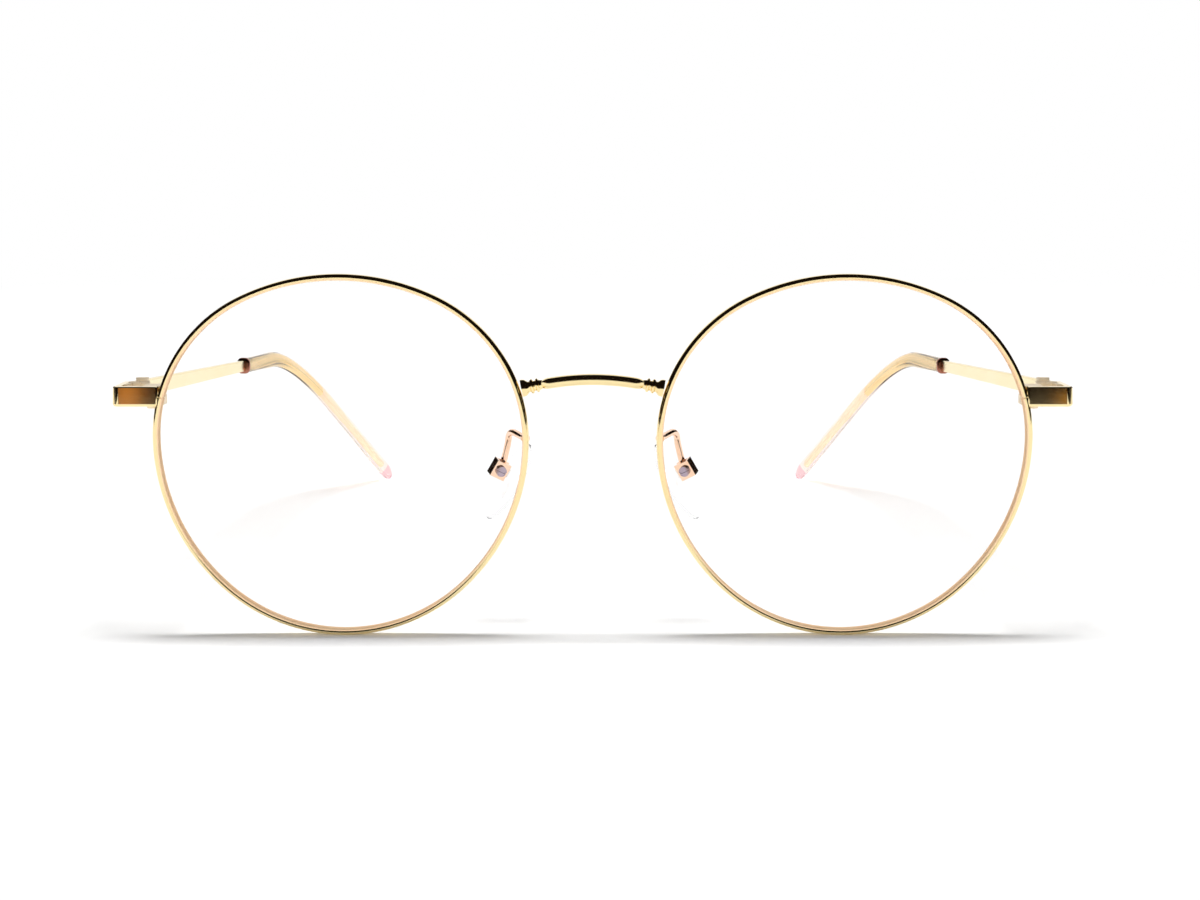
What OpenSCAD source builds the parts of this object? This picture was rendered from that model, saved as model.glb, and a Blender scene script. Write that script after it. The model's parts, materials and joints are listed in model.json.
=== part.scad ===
/* [Rims] */
// Overall width of one rim
rim_w = 54.9; // [44:0.1:66]
// Gap between the two rims where they come nearest
rim_gap = 18.6; // [14:0.1:24]
// Radius of the bottom arc as a share of half the rim's width
bottom_fullness = 0.947; // [0.9:0.001:0.99]
// Radius of the upper corner arcs as a share of half the rim's width
corner_fullness = 0.845; // [0.75:0.001:0.88]
// How far below the horizontal the side arcs reach
side_angle = 48; // [40:1:60]
// Where the corner arcs meet the top arc
top_angle = 64; // [55:1:72]
// Thickness of the rim wire, from its outer crown to its inner face
rim_t = 0.95; // [0.8:0.05:1.4]
// Depth of the rim wire, front to back
rim_depth = 1.8; // [1.7:0.1:2.6]
// Height of the rounded crown on the rim's outer side
rim_crown = 0.45; // [0.2:0.05:0.6]
// How much wider the lens groove is at its mouth than at its floor
groove_flare = 0.2; // [0:0.05:0.3]
// Depth of the lens groove
groove_depth = 0.4; // [0.3:0.05:0.55]

/* [Lenses] */
// Thickness of a lens
lens_t = 0.9; // [0.7:0.05:0.95]
// Radius of a lens's front face
lens_r = 265; // [240:5:600]
// How far a lens stands in its groove
lens_seat = 0.3; // [0.15:0.05:0.3]
// Room in the groove before and behind a lens's edge
lens_play = 0.02; // [0.02:0.01:0.05]

/* [Closing blocks] */
// Where the end piece and the rim's split lie on the corner arc
split_angle = 16; // [8:1:30]
// Width of the split in the rim and between its blocks
split_gap = 0.16; // [0.1:0.02:0.3]
// Reach of the blocks outwards from the rim
block_reach = 2.3; // [2.1:0.1:3]
// Reach of the blocks over the rim's rear face
block_bite = 0.6; // [0.3:0.1:0.7]
// Length of the blocks, front to back
block_l = 2.9; // [2.6:0.1:3.6]
// Radius of the closing screw's shank
rim_screw_r = 0.55; // [0.45:0.05:0.6]
// Radius of the closing screw's head
rim_screw_head_r = 0.9; // [0.8:0.05:1.05]

/* [End pieces] */
// Height of an end piece
lug_h = 2.9; // [2.6:0.1:3.6]
// Thickness of an end piece
lug_t = 1.2; // [1:0.1:1.5]
// Reach of an end piece outwards from the rim
lug_reach = 6.6; // [6:0.1:9]
// Outer radius of an end piece's corner
lug_corner_r = 1.7; // [1.6:0.1:2.5]
// Chamfer along an end piece's outer edges
lug_chamfer = 0.3; // [0.1:0.05:0.45]
// Distance of the hinge pin behind the front plane
hinge_back = 7; // [6.5:0.1:9]

/* [Hinges] */
// Height of the three knuckles together
hinge_h = 3; // [2.6:0.1:3.6]
// Height of the middle knuckle, which belongs to the temple
middle_knuckle_h = 1.2; // [1:0.1:1.4]
// Radius of the knuckles
knuckle_r = 1.1; // [1:0.05:1.2]
// Distance of the pin from the inner face of end piece and temple
pin_inset = 1.7; // [1.6:0.05:2]
// Radius of the hinge screw's shank
hinge_screw_r = 0.55; // [0.4:0.05:0.6]
// Radius of the hinge screw's head
hinge_screw_head_r = 0.95; // [0.85:0.05:1.05]
// Thickness of the hinge leaves
leaf_t = 0.6; // [0.4:0.05:0.7]
// Length of the hinge leaves
leaf_l = 3.4; // [2.8:0.1:4]

/* [Temples] */
// Distance from the hinge pin to the bend
bend_at = 86; // [76:1:104]
// Radius of the bend
bend_r = 35; // [26:1:42]
// How far the bend turns
bend_angle = 50; // [42:1:56]
// How far the plane of the bend leans inwards
bend_roll = 29; // [0:1:34]
// Slope of the temples towards the back
temple_slope = 3.1; // [0:0.1:5]
// How far each temple turns inwards
temple_toe = 3.5; // [0:0.1:5]
// Height of a temple at its hinge
temple_front_h = 2.6; // [2.4:0.1:2.8]
// Height of a temple where it enters its tip
temple_rear_h = 2; // [1.6:0.1:2.2]
// Thickness of a temple
temple_t = 1; // [0.8:0.05:1.2]
// Distance from the hinge pin to the ring at the mouth of the tip
ring_at = 65; // [55:1:72]
// Height of the core wire, from inside the tip's mouth to just past the bend
core_h = 1.8; // [1.4:0.1:2]
// Height of the core wire's last stretch
core_thin_h = 1.1; // [0.8:0.1:1.4]
// Width of the core wire's last stretch
core_thin_w = 0.8; // [0.6:0.1:1]

/* [Tips] */
// Length of the ring
ring_l = 1; // [0.8:0.1:1.6]
// Height of the ring
ring_h = 3; // [2.9:0.1:3.4]
// Width of the ring
ring_w = 2.5; // [2.4:0.1:2.8]
// Height of a tip at its mouth
tip_mouth_h = 2.7; // [2.7:0.1:3]
// Width of a tip at its mouth
tip_mouth_w = 2.2; // [2.1:0.1:2.4]
// Height of a tip near its end
tip_end_h = 4.6; // [3.4:0.1:6]
// Width of a tip near its end
tip_end_w = 2.3; // [2.2:0.1:3]
// How late a tip grows towards its end, where 1 is evenly
tip_growth = 1.5; // [1:0.1:3]
// Distance from the end of the core wire to the end of the tip
core_short = 4; // [3:0.5:10]

/* [Bridge] */
// Where the bridge meets the corner arcs
bridge_angle = 18.5; // [10:0.5:30]
// Rise of the bridge above its ends
bridge_rise = 1.5; // [1:0.1:3]
// Height of the bridge bar
bridge_h = 1.6; // [1.4:0.1:2]
// Depth of the bridge bar, front to back
bridge_depth = 1.8; // [1.6:0.1:2.2]
// Length of the turned neck at each end of the bridge
neck_l = 3.1; // [2.6:0.1:4]

/* [Nose pads] */
// Where the pad arms meet the corner arcs
arm_angle = 0; // [-1:0.5:4]
// Radius of the pad arm wire
arm_r = 0.5; // [0.4:0.05:0.6]
// Place of the pad screw outwards from the foot of the pad arm
pad_out = 4.4; // [4.2:0.1:5.5]
// Place of the pad screw behind the foot of the pad arm
pad_back = 8.2; // [7.8:0.1:9.5]
// Place of the pad screw below the foot of the pad arm
pad_drop = 5.9; // [5.8:0.1:8]
// How far the pads spread towards the bottom
pad_flare = 30; // [20:1:38]
// How far the pads turn towards the back
pad_splay = 20; // [8:1:28]
// Length of a nose pad
pad_l = 13.2; // [10:0.1:15]
// Width of a nose pad
pad_w = 7.4; // [6:0.1:9]
// Thickness of a nose pad
pad_t = 2.2; // [1.9:0.1:2.6]
// Height of the pad box, along the pad
box_l = 2.6; // [2.4:0.1:3]
// Width of the pad box
box_w = 2.4; // [2.3:0.1:2.8]
// Depth of the pad box, front to back
box_depth = 1.9; // [1.8:0.1:2.4]
// Wall of the pad box
box_wall = 0.42; // [0.35:0.01:0.5]
// Radius of the pad screw's shank
pad_screw_r = 0.45; // [0.35:0.05:0.5]
// Radius of the pad screw's head
pad_screw_head_r = 0.8; // [0.7:0.05:0.95]

/* [Clearances] */
// Gap at soldered, seated and moulded faces
seat_gap = 0.02; // [0.01:0.005:0.04]
// Radial running clearance of the screws in their bores
bore_gap = 0.03; // [0.02:0.005:0.06]
// Gap between the knuckles, and between temple and end piece
play = 0.05; // [0.03:0.01:0.08]
// Gap round the core wire and the temple where the tip and ring slide on
core_gap = 0.05; // [0.03:0.01:0.08]
// Gap of the pad's tab in its box, each side
tab_gap = 0.08; // [0.05:0.01:0.12]

/* [Hidden] */

$fn = 48;
// Left and right are the wearer's: the wearer's left lies towards +X
LEFT = 1;
RIGHT = -1;
// Colours
GOLD = "#e3b866";
PALE_GOLD = "#efd9a0";
COPPER = "#9a5a3c";
CLEAR = [0.95, 0.95, 0.93, 0.35];
TIP_CLEAR = [0.98, 0.9, 0.84, 0.45];
// A little more than nothing, for cuts that have to pass a face
over = 0.5;
// Long enough to cut through any of the small metal pieces
reach = 20;

// The rim's outline in its own plane: four kinds of arc that meet tangentially,
// the bottom arc's centre at zero, each as [centre, radius, start angle, sweep]
half_w = rim_w / 2;
bottom_r = bottom_fullness * half_w;
corner_r = corner_fullness * half_w;
side_r = (half_w - bottom_r * cos(side_angle)) / (1 - cos(side_angle));
side_c = [(bottom_r - side_r) * cos(side_angle), (side_r - bottom_r) * sin(side_angle)];
corner_c = side_c + [side_r - corner_r, 0];
top_r = corner_r + corner_c.x / cos(top_angle);
top_c = [0, corner_c.y + (corner_r - top_r) * sin(top_angle)];
RIM_ARCS = [
    [[0, 0], bottom_r, side_angle - 180, 180 - 2 * side_angle],
    [side_c, side_r, -side_angle, side_angle],
    [corner_c, corner_r, 0, top_angle],
    [top_c, top_r, top_angle, 180 - 2 * top_angle],
    [[-corner_c.x, corner_c.y], corner_r, 180 - top_angle, top_angle],
    [[-side_c.x, side_c.y], side_r, 180, side_angle]
];
// Places along the outline, each as [centre, radius, angle]
ARC_STEPS = 16;
OUTLINE = [
    for (arc = RIM_ARCS, k = [0:ARC_STEPS - 1])
    [arc[0], arc[1], arc[2] + arc[3] * k / ARC_STEPS]
];
rim_x = rim_gap / 2 + half_w;
rim_z = bottom_r;
rim_mid_z = (top_c.y + top_r - bottom_r) / 2;
// Corner arc centres of the left rim, in the front's own frame
temporal_c = [rim_x + corner_c.x, rim_z + corner_c.y];
nasal_c = [rim_x - corner_c.x, rim_z + corner_c.y];

// The lens: the less its outline is a circle, the more the edge of its curved faces
// wanders, evenly before and behind the middle of the rim's depth, and the groove gives room
lens_inset = rim_t - lens_seat;
LENS_OUTLINE = [
    for (way = OUTLINE)
    way[0] + (way[1] - lens_inset) * [cos(way[2]), sin(way[2])]
];
EDGE_REACH = [for (p = LENS_OUTLINE) norm(p - [0, rim_mid_z])];
edge_far_2 = pow(max(EDGE_REACH), 2);
edge_near_2 = pow(min(EDGE_REACH), 2);
lens_mid_r = lens_r - lens_t / 2;
lens_c_y = rim_depth / 2 + sqrt(pow(lens_mid_r, 2) - (edge_far_2 + edge_near_2) / 2);
lens_wander = (edge_far_2 - edge_near_2) / 4 / lens_mid_r;
groove_floor = lens_t + 2 * (lens_wander + lens_play);
groove_w = groove_floor + groove_flare;
CROWN_STEPS = 8;

// The end piece, the blocks and the hinge line up on one height
lug_x = temporal_c.x + corner_r * cos(split_angle);
lug_z = temporal_c.y + corner_r * sin(split_angle);
lug_out = lug_x + lug_reach;
block_front = lug_t + seat_gap;
rim_screw_x = lug_x + block_reach / 2;
// The closing screw's head passes the rim's rear face by this much
head_clear = 0.12;
rim_screw_y = rim_depth + head_clear + rim_screw_head_r;
rim_screw_head_h = 0.5;
pin_x = lug_out - lug_t - pin_inset;
hinge_screw_head_h = 0.5;
slot_w = 0.25;
slot_depth = 0.22;
leaf_start = 0.9;
web_start = 0.3;
// A leaf is lower than the knuckles by this much
leaf_short = 0.4;
leaf_h = hinge_h - leaf_short;

// The temple's line: straight to the bend, round it, and straight to the end.
// Places on it are in the temple's frame, whose origin is on the hinge pin.
temple_x = pin_inset + temple_t / 2;
bend_l = bend_r * bend_angle * PI / 180;
tip_start = ring_at + ring_l + seat_gap;
ROLL_OVER = 16;
function rolled(p, roll) =
    [p.x * cos(roll) + p.z * sin(roll), p.y, p.z * cos(roll) - p.x * sin(roll)];
function line_angle(s) = min(max(s - bend_at, 0) / bend_r * 180 / PI, bend_angle);
function line_run(s) = max(s - bend_at - bend_l, 0);
function line_point(s) =
    let (a = line_angle(s), run = line_run(s))
    [temple_x, min(s, bend_at), 0] + rolled([
        0,
        bend_r * sin(a) + run * cos(bend_angle),
        -bend_r * (1 - cos(a)) - run * sin(bend_angle)
    ], bend_roll);
// The cross-section turns from upright to the bend's plane just ahead of the bend
function line_roll(s) = bend_roll * min(max(s - bend_at + ROLL_OVER, 0) / ROLL_OVER, 1);
// A point beside the line, w sideways and h upwards in the cross-section
function beside(s, w, h) =
    let (a = line_angle(s))
    line_point(s) + rolled([w, h * sin(a), h * cos(a)], line_roll(s));
// Height and distance back of a point or a direction, as it stands in use
function back_of(p) =
    (p.x * sin(temple_toe) + p.y * cos(temple_toe)) * cos(temple_slope) + p.z * sin(temple_slope);
function height_of(p) =
    p.z * cos(temple_slope) - (p.x * sin(temple_toe) + p.y * cos(temple_toe)) * sin(temple_slope);

// The tip's end is domed, and its straight run is as long as it takes to stand on the floor
dome_l = tip_end_h / 2;
DOME_STEPS = 5;
// The dome's first ring, which is flat across, as an angle from the tip's end
dome_start = 14;
END_STATIONS = [
    for (k = [0:DOME_STEPS])
    dome_l * (1 - cos(dome_start + (90 - dome_start) * k / DOME_STEPS))
];
function dome(d) = sqrt(max(1 - pow(1 - min(d / dome_l, 1), 2), 0));
TIP_SIDES = 16;
end_s = bend_at + bend_l;
end_way = rolled([0, cos(bend_angle), -sin(bend_angle)], bend_roll);
END_POINTS = [
    for (d = END_STATIONS, k = [0:TIP_SIDES - 1])
    let (a = 360 * k / TIP_SIDES)
    beside(end_s, tip_end_w / 2 * dome(d) * cos(a), tip_end_h / 2 * dome(d) * sin(a))
        - d * end_way
];
tip_run = (lug_z + min([for (p = END_POINTS) height_of(p)])) / -height_of(end_way);
tip_end = end_s + tip_run;
core_end = tip_end - core_short;

// The whole stands with its middle over the origin
front_y = lens_c_y - lens_r;
rear_y = hinge_back + max([for (p = END_POINTS) back_of(p)]) + tip_run * back_of(end_way);
middle_y = (front_y + rear_y) / 2;

// The bridge: an arc over the nose, with its centre on the middle plane
bridge_x = nasal_c.x - corner_r * cos(bridge_angle);
bridge_z = nasal_c.y + corner_r * sin(bridge_angle);
bridge_r = (pow(bridge_x, 2) + pow(bridge_rise, 2)) / (2 * bridge_rise);
bridge_c_z = bridge_z + bridge_rise - bridge_r;
bar_angle = asin((bridge_x - neck_l) / bridge_r);
bridge_facet = 0.5;
// Turned rings on the neck: [start, length, radius], from the bar outwards
NECK_TURNS = [
    [-0.3, 0.9, 0.7],
    [0.35, 0.5, 0.98],
    [0.8, 0.5, 0.62],
    [1.25, 0.55, 0.95],
    [1.75, 0.5, 0.6],
    [2.1, 2.2, 0.82]
];

// The pad arm: its foot on the rim's rear face, its knees, and its end on the pad box
foot_r = corner_r - rim_t / 2;
arm_foot = [
    nasal_c.x - foot_r * cos(arm_angle),
    rim_depth + seat_gap,
    nasal_c.y + foot_r * sin(arm_angle)
];
pad_at = arm_foot + [pad_out, pad_back, -pad_drop];
ARM_KNEES = [[0.8, 1.8, 0.1], [2.2, 4.5, 0.4], [2.8, 6.2, -0.3], [3, 7, -1.8]];
// The wire is a little thicker where it is bent
knee_swell = 0.04;
pad_screw_head_h = 0.45;
tab_t = box_depth - 2 * (box_wall + tab_gap);
tab_h = 1.4;
tab_end = 0.6;
// The pad lies on the nose side of its box, a little below the middle of it
pad_standoff = 0.6;
pad_low = 1.1;
pad_rear = -box_w / 2 - pad_standoff;
pad_dome_r = 13;
insert_depth = 0.9;
insert_t = 0.4;
insert_w = 2.8;
insert_l = 5;
PAD_STEPS = 40;

module standing() {
    translate([0, -middle_y, 0]) children();
}
module on_side(side) {
    if (side == RIGHT) mirror([1, 0, 0]) children();
    else children();
}
module hinge_frame() {
    translate([pin_x, hinge_back, lug_z]) rotate([-temple_slope, 0, 0]) children();
}
module temple_frame() {
    hinge_frame() rotate([0, 0, temple_toe]) children();
}
module pad_frame() {
    translate(pad_at) rotate([0, -pad_flare, 0]) rotate([0, 0, -pad_splay]) children();
}
module box_from(low, high) {
    translate(low) cube(high - low);
}
module rod(from, to, radius) {
    way = to - from;
    translate(from) rotate([0, acos(way.z / norm(way)), atan2(way.y, way.x)])
        cylinder(h = norm(way), r = radius);
}
// A disc that fills the rim's corner arc, from before the front to a given depth
module rim_disc(centre, radius, depth) {
    translate([centre.x, depth, centre.y]) rotate([90, 0, 0])
        cylinder(h = depth + reach, r = radius, $fn = 180);
}
// A solid along the temple's line: sizes holds [place, half width, half height] for each ring
module along_line(sizes, sides) {
    count = len(sizes);
    points = [
        for (z = sizes, k = [0:sides - 1])
        let (a = 360 * (k + 0.5) / sides)
        beside(z[0], z[1] * cos(a), z[2] * sin(a))
    ];
    walls = [
        for (i = [0:count - 2], k = [0:sides - 1])
        let (n = (k + 1) % sides, low = i * sides, high = low + sides)
        each [[low + k, high + n, high + k], [low + k, low + n, high + n]]
    ];
    last = (count - 1) * sides;
    caps = [
        for (k = [1:sides - 2])
        each [[0, k + 1, k], [last, last + k, last + k + 1]]
    ];
    polyhedron(points = points, faces = concat(walls, caps));
}
// A closed ring along the rim's outline: a profile of [outwards, back] points
module along_outline(profile) {
    count = len(OUTLINE);
    sides = len(profile);
    points = [
        for (way = OUTLINE, p = profile)
        let (out = way[0] + (way[1] + p.x) * [cos(way[2]), sin(way[2])])
        [out.x, p.y, out.y]
    ];
    walls = [
        for (i = [0:count - 1], k = [0:sides - 1])
        let (n = (k + 1) % sides, low = i * sides, high = (i + 1) % count * sides)
        each [[low + k, high + n, high + k], [low + k, low + n, high + n]]
    ];
    polyhedron(points = points, faces = walls);
}

// ---- Front ----
RIM_PROFILE = concat(
    [for (k = [0:CROWN_STEPS]) let (a = 180 * k / CROWN_STEPS - 90)
        [rim_crown * (cos(a) - 1), rim_depth / 2 * (1 + sin(a))]],
    [
        [-rim_t, rim_depth],
        [-rim_t, (rim_depth + groove_w) / 2],
        [groove_depth - rim_t, (rim_depth + groove_floor) / 2],
        [groove_depth - rim_t, (rim_depth - groove_floor) / 2],
        [-rim_t, (rim_depth - groove_w) / 2],
        [-rim_t, 0]
    ]
);
module rim(side) {
    color(GOLD) standing() on_side(side) difference() {
        translate([rim_x, 0, rim_z]) along_outline(RIM_PROFILE);
        box_from(
            [lug_x - 2 * rim_t, -over, lug_z - split_gap / 2],
            [lug_x + 2 * rim_t, rim_depth + over, lug_z + split_gap / 2]
        );
    }
}
module lens(side) {
    color(CLEAR) standing() on_side(side) translate([rim_x, 0, rim_z]) intersection() {
        translate([0, reach, 0]) rotate([90, 0, 0])
            linear_extrude(2 * reach) polygon(LENS_OUTLINE);
        translate([0, lens_c_y, rim_mid_z]) difference() {
            sphere(r = lens_r, $fn = 360);
            sphere(r = lens_r - lens_t, $fn = 360);
        }
    }
}
// One half of the closing block, from height low to height high
module block(low, high) {
    difference() {
        box_from(
            [lug_x - block_bite, block_front, low],
            [lug_x + block_reach, block_front + block_l, high]
        );
        rim_disc(temporal_c, corner_r + seat_gap, rim_depth + seat_gap);
        translate([rim_screw_x, rim_screw_y, low - over])
            cylinder(h = high - low + 2 * over, r = rim_screw_r + bore_gap);
    }
}
module block_upper(side) {
    color(GOLD) standing() on_side(side)
        block(lug_z + split_gap / 2, lug_z + lug_h / 2);
}
module block_lower(side) {
    color(GOLD) standing() on_side(side)
        block(lug_z - lug_h / 2, lug_z - split_gap / 2);
}
module slotted_screw(shank_r, shank_l, head_r, head_h) {
    difference() {
        union() {
            cylinder(h = shank_l, r = shank_r);
            translate([0, 0, shank_l]) cylinder(h = head_h, r = head_r);
        }
        box_from(
            [-head_r - over, -slot_w / 2, shank_l + head_h - slot_depth],
            [head_r + over, slot_w / 2, shank_l + head_h + over]
        );
    }
}
module rim_screws() {
    color(GOLD) standing() for (side = [LEFT, RIGHT]) on_side(side)
        translate([rim_screw_x, rim_screw_y, lug_z + lug_h / 2]) mirror([0, 0, 1])
            slotted_screw(rim_screw_r, lug_h + seat_gap, rim_screw_head_r, rim_screw_head_h);
}
// The end piece's bar in section: x from its inner to its outer face, y upwards
LUG_PROFILE = [
    [0, -lug_h / 2],
    [lug_t - lug_chamfer, -lug_h / 2],
    [lug_t, lug_chamfer - lug_h / 2],
    [lug_t, lug_h / 2 - lug_chamfer],
    [lug_t - lug_chamfer, lug_h / 2],
    [0, lug_h / 2]
];
module lug_bar() {
    corner = [lug_out - lug_corner_r, lug_corner_r];
    translate([lug_x - over, 0, 0]) rotate([90, 0, 90])
        linear_extrude(corner.x - lug_x + over)
            polygon([for (p = LUG_PROFILE) [lug_t - p.x, p.y]]);
    translate(corner) rotate_extrude(start = -90, angle = 90)
        translate([lug_corner_r - lug_t, 0]) polygon(LUG_PROFILE);
    translate([lug_out - lug_t, hinge_back + over, 0]) rotate([90, 0, 0])
        linear_extrude(hinge_back + over - lug_corner_r) polygon(LUG_PROFILE);
}
module end_piece(side) {
    color(GOLD) standing() on_side(side) difference() {
        translate([0, 0, lug_z]) lug_bar();
        rim_disc(temporal_c, corner_r + play, reach);
        hinge_frame() box_from([0, -play / 2, -reach], [reach, reach, reach]);
    }
}
module knuckle(low, high) {
    translate([0, 0, low]) cylinder(h = high - low, r = knuckle_r);
}
module pin_bore() {
    translate([0, 0, -reach]) cylinder(h = 2 * reach, r = hinge_screw_r + bore_gap);
}
// A leaf with its web to the knuckles; way is -1 towards the front and 1 towards the back
module leaf(way, heights) {
    seat = pin_inset - seat_gap;
    near = way < 0 ? -leaf_start - leaf_l : leaf_start;
    box_from([seat - leaf_t, near, -leaf_h / 2], [seat, near + leaf_l, leaf_h / 2]);
    web = way < 0 ? -leaf_start - leaf_t : web_start;
    for (z = heights)
        box_from([0, web, z[0]], [seat, web + leaf_start + leaf_t - web_start, z[1]]);
}
outer_knuckle = [middle_knuckle_h / 2 + play, hinge_h / 2];
module front_hinge(side) {
    color(GOLD) standing() on_side(side) hinge_frame() difference() {
        union() {
            heights = [outer_knuckle, [-outer_knuckle[1], -outer_knuckle[0]]];
            for (z = heights) knuckle(z[0], z[1]);
            leaf(-1, heights);
        }
        pin_bore();
    }
}
module temple_hinge(side) {
    color(GOLD) standing() on_side(side) temple_frame() difference() {
        union() {
            knuckle(-middle_knuckle_h / 2, middle_knuckle_h / 2);
            leaf(1, [[-middle_knuckle_h / 2, middle_knuckle_h / 2]]);
        }
        pin_bore();
    }
}
module hinge_screws() {
    color(GOLD) standing() for (side = [LEFT, RIGHT]) on_side(side) hinge_frame()
        translate([0, 0, -hinge_h / 2])
            slotted_screw(hinge_screw_r, hinge_h + seat_gap, hinge_screw_head_r,
                hinge_screw_head_h);
}
// The bridge bar in section: x outwards from its middle line, y through its depth
BRIDGE_PROFILE = [
    for (side = [1, -1])
    each [
        [side * bridge_h / 2, -side * bridge_facet / 2],
        [side * bridge_h / 2, side * bridge_facet / 2],
        [side * (bridge_h / 2 - bridge_facet), side * bridge_depth / 2],
        [side * (bridge_facet - bridge_h / 2), side * bridge_depth / 2]
    ]
];
module bridge() {
    color(GOLD) standing() difference() {
        translate([0, rim_depth / 2, bridge_c_z]) {
            rotate([90, 0, 0])
                rotate_extrude(start = 90 - bar_angle, angle = 2 * bar_angle, $fn = 180)
                    translate([bridge_r, 0]) polygon(BRIDGE_PROFILE);
            for (side = [LEFT, RIGHT]) on_side(side)
                rotate([0, bar_angle, 0]) translate([0, 0, bridge_r]) rotate([0, 90, 0])
                    for (turn = NECK_TURNS)
                        translate([0, 0, turn[0]]) cylinder(h = turn[1], r = turn[2]);
        }
        for (side = [LEFT, RIGHT]) on_side(side)
            rim_disc(nasal_c, corner_r + seat_gap, reach);
    }
}

// ---- Temples ----
// How far the flat strip reaches into the tip, and laps the core wire
strip_in = 2;
strip_lap = 1;
strip_end = tip_start + strip_in;
module temple(side) {
    color(PALE_GOLD) standing() on_side(side) difference() {
        temple_frame() {
            translate([pin_inset, 0, 0]) rotate([90, 0, 90]) linear_extrude(temple_t)
                polygon([
                    [-over, -temple_front_h / 2],
                    [ring_at, -temple_rear_h / 2],
                    [strip_end, -temple_rear_h / 2],
                    [strip_end, temple_rear_h / 2],
                    [ring_at, temple_rear_h / 2],
                    [-over, temple_front_h / 2]
                ]);
            core();
        }
        hinge_frame() box_from([0, -reach, -reach], [reach, play / 2, reach]);
    }
}
// Places along the line after one place and up to another
function stations(from, to, count) =
    [for (k = [1:count]) from + (to - from) * k / count];
// The core wire inside the tip: as thick as the strip to just past the bend, thinner from there
core_flat = 4;
core_taper = 2;
core_step = end_s + core_flat;
CORE_STATIONS = concat(
    strip_end - strip_lap,
    strip_end,
    stations(strip_end, bend_at, 3),
    stations(bend_at, end_s, 6),
    core_step,
    core_step + core_taper,
    core_end
);
function core_half(s) =
    s > core_step ? [core_thin_w / 2, core_thin_h / 2] : [temple_t / 2, core_h / 2];
CORE_SIDES = 8;
// Room at the core wire's eight corners, which leaves at least its gap at the flats
core_room = 1.5 * core_gap;
module core() {
    along_line([for (s = CORE_STATIONS) concat(s, core_half(s))], CORE_SIDES);
}
module tip_ring(side) {
    color(COPPER) standing() on_side(side) temple_frame() difference() {
        translate([temple_x, ring_at + ring_l, 0]) rotate([90, 0, 0])
            linear_extrude(ring_l) union() {
                square([ring_w, ring_h - ring_w], center = true);
                for (up = [-1, 1]) translate([0, up * (ring_h - ring_w) / 2])
                    circle(d = ring_w);
            }
        strip_room();
    }
}
// Room for the flat part of the temple, as far as it goes into the tip
module strip_room() {
    box_from(
        [pin_inset - core_gap, ring_at - over, -temple_rear_h / 2 - core_gap],
        [
            pin_inset + temple_t + core_gap,
            strip_end + core_gap,
            temple_rear_h / 2 + core_gap
        ]
    );
}
function tip_half(s) =
    let (
        grown = min(max(s - tip_start, 0) / (tip_end - dome_l - tip_start), 1),
        round_end = dome(tip_end - s)
    )
    round_end * [
        (tip_mouth_w + (tip_end_w - tip_mouth_w) * grown) / 2,
        (tip_mouth_h + (tip_end_h - tip_mouth_h) * pow(grown, tip_growth)) / 2
    ];
TIP_STATIONS = concat(
    tip_start,
    stations(tip_start, bend_at, 5),
    stations(bend_at, end_s, 9),
    stations(end_s, tip_end - dome_l, 4),
    [for (k = [DOME_STEPS - 1:-1:0]) tip_end - END_STATIONS[k]]
);
module temple_tip(side) {
    color(TIP_CLEAR) standing() on_side(side) temple_frame() difference() {
        along_line([for (s = TIP_STATIONS) concat(s, tip_half(s))], TIP_SIDES);
        strip_room();
        along_line([
            for (s = concat(CORE_STATIONS, core_end + core_gap))
            concat(s, core_half(s) + [core_room, core_room])
        ], CORE_SIDES);
    }
}

// ---- Nose pads ----
module pad_arm(side) {
    $fn = 96;
    ends = [for (k = ARM_KNEES) arm_foot + k];
    color(GOLD) standing() on_side(side) difference() {
        union() {
            rod(arm_foot, ends[0], arm_r);
            for (i = [0:len(ends) - 2]) rod(ends[i], ends[i + 1], arm_r);
            for (p = ends) translate(p) sphere(r = arm_r + knee_swell);
            rod(ends[len(ends) - 1], pad_at, arm_r);
        }
        pad_frame() box_from(
            [-reach, -reach, -reach],
            [reach, reach, box_l / 2 + seat_gap]
        );
        box_from([0, -reach, 0], [reach, rim_depth + seat_gap, 3 * reach]);
    }
}
module pad_bore() {
    rotate([90, 0, 0]) translate([0, 0, -reach])
        cylinder(h = 2 * reach, r = pad_screw_r + bore_gap);
}
module pad_box(side) {
    color(GOLD) standing() on_side(side) pad_frame() difference() {
        translate([-box_w / 2, -box_depth / 2, -box_l / 2])
            cube([box_w, box_depth, box_l]);
        box_from(
            [-reach, box_wall - box_depth / 2, -reach],
            [box_w / 2 - box_wall, box_depth / 2 - box_wall, reach]
        );
        pad_bore();
    }
}
module pad_screws() {
    color(GOLD) standing() for (side = [LEFT, RIGHT]) on_side(side) pad_frame()
        translate([0, box_depth / 2, 0]) rotate([90, 0, 0])
            slotted_screw(pad_screw_r, box_depth + seat_gap, pad_screw_head_r,
                pad_screw_head_h);
}
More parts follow.
